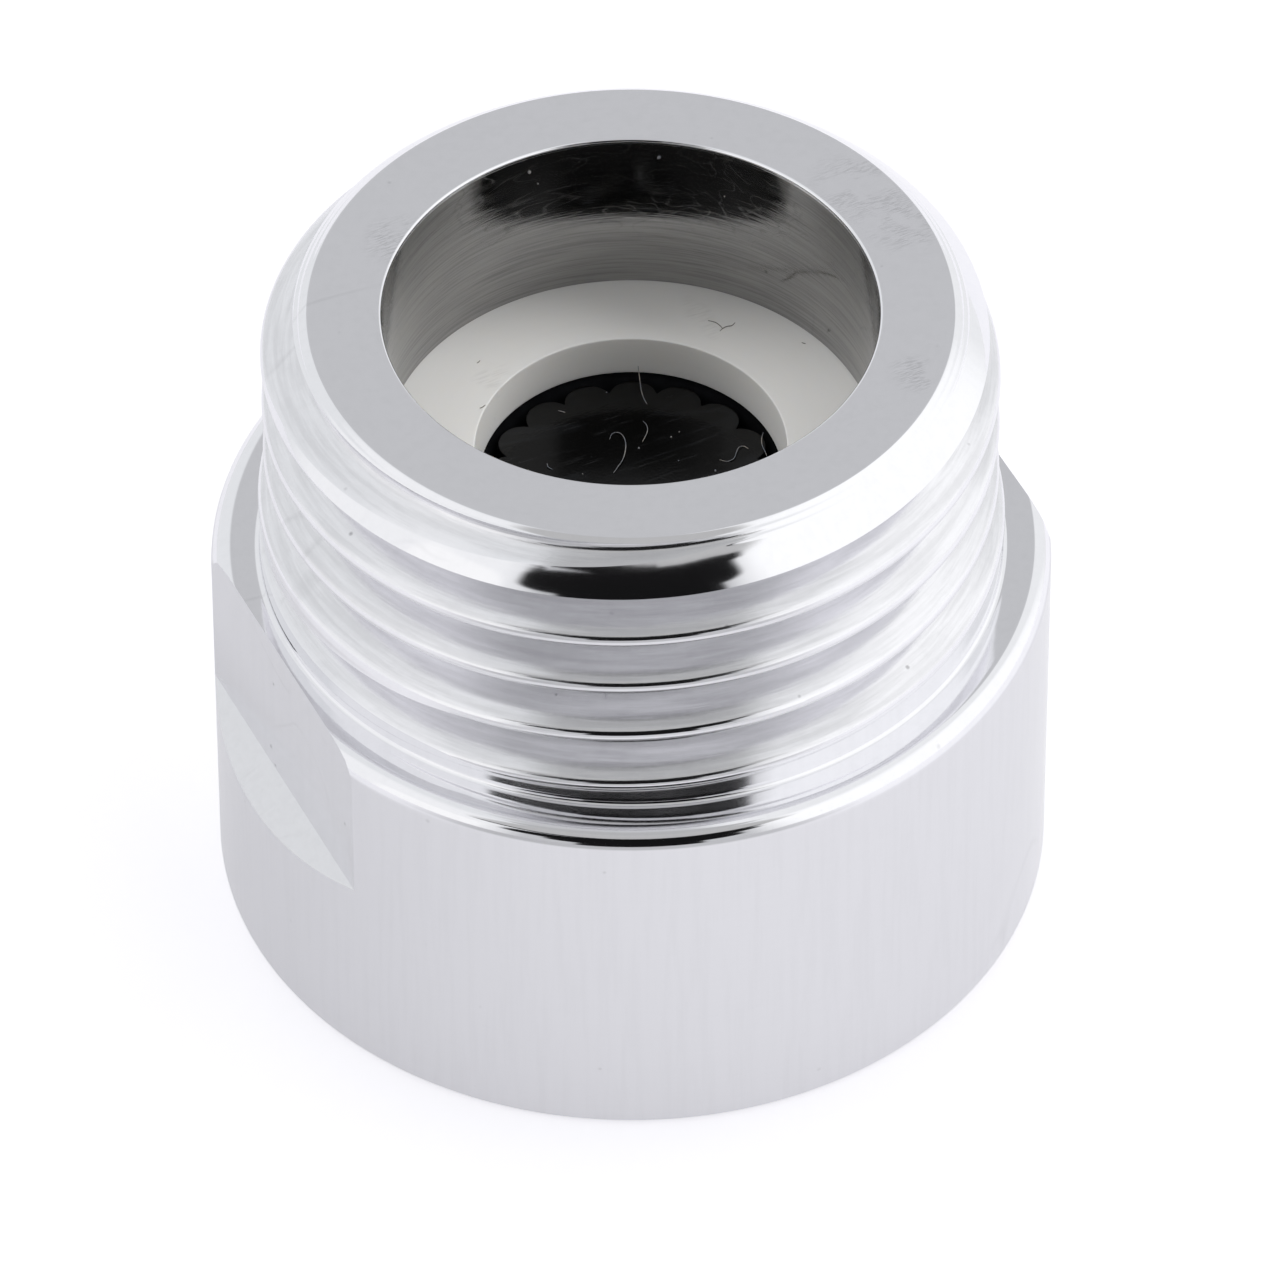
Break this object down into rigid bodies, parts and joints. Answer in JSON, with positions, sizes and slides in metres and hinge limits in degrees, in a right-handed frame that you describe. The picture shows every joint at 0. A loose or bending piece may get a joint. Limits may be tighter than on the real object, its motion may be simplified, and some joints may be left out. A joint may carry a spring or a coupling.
{
  "type": "shower flow regulator",
  "caption": "Short round metal connector with a spanner-flat collar, a male pipe thread above, a threaded socket below and a white and black flow-limiting insert inside.",
  "frame": {"origin": "middle of the flat base face, on the thread's axis", "axes": "+Z along the axis towards the outlet nipple, +X and -X square to the two spanner flats"},
  "size_m": [0.024, 0.024, 0.0206],
  "materials": {
    "chromed_metal": "satin chrome on brass",
    "white_plastic": "smooth moulded, slightly satin",
    "black_plastic": "smooth moulded, semi-gloss",
    "pale_plastic": "matt moulded",
    "soft_rubber": "matt"
  },
  "bodies": {
    "root": {"threaded_body": "chromed_metal", "regulator_housing": "white_plastic", "housing_seal_ring": "soft_rubber", "regulator_core": "black_plastic", "regulating_ring": "soft_rubber", "inlet_filter": "pale_plastic", "inlet_washer": "soft_rubber"}
  },
  "joints": []
}
